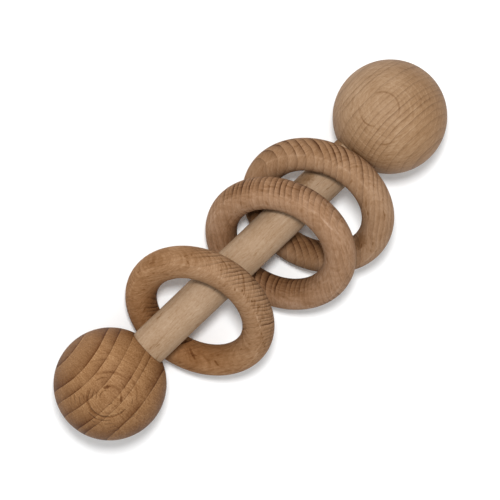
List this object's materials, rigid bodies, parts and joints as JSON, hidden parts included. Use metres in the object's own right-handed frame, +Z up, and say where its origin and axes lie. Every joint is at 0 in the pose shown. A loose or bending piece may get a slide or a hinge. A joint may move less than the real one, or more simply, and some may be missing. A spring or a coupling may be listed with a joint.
{
  "type": "baby rattle",
  "caption": "Plain wooden baby rattle: a round dowel with a ball glued on each end, and loose round-section rings that slide along the dowel and knock together.",
  "frame": {"origin": "on the table, straight under the middle of the dowel, with the rattle lying on the table", "axes": "+X along the dowel towards the ball that the rings lean to, +Y across it, +Z up from the table"},
  "size_m": [0.1764, 0.0585, 0.04],
  "materials": {
    "dowel": "bare sanded beech, straight grain, matt",
    "left_ball": "bare turned beech, bold growth lines, matt",
    "right_ball": "bare turned beech, fine straight grain, matt",
    "left_ring": "bare turned beech, matt",
    "middle_ring": "bare turned beech, matt",
    "right_ring": "bare turned beech, matt"
  },
  "bodies": {
    "handle": {"dowel": "dowel", "left_ball": "left_ball", "right_ball": "right_ball"},
    "left_ring": {"left_ring": "left_ring"},
    "middle_ring": {"middle_ring": "middle_ring"},
    "right_ring": {"right_ring": "right_ring"}
  },
  "joints": [
    {"name": "left_ring_slide", "type": "slide", "parent": "handle", "child": "left_ring", "axis": [1, 0, 0], "range_m": [0, 0.006]},
    {"name": "right_ring_slide", "type": "slide", "parent": "handle", "child": "right_ring", "axis": [1, 0, 0], "range_m": [-0.005, 0]},
    {"name": "middle_ring_slide", "type": "slide", "parent": "right_ring", "child": "middle_ring", "axis": [1, 0, 0], "range_m": [-0.005, 0]}
  ]
}
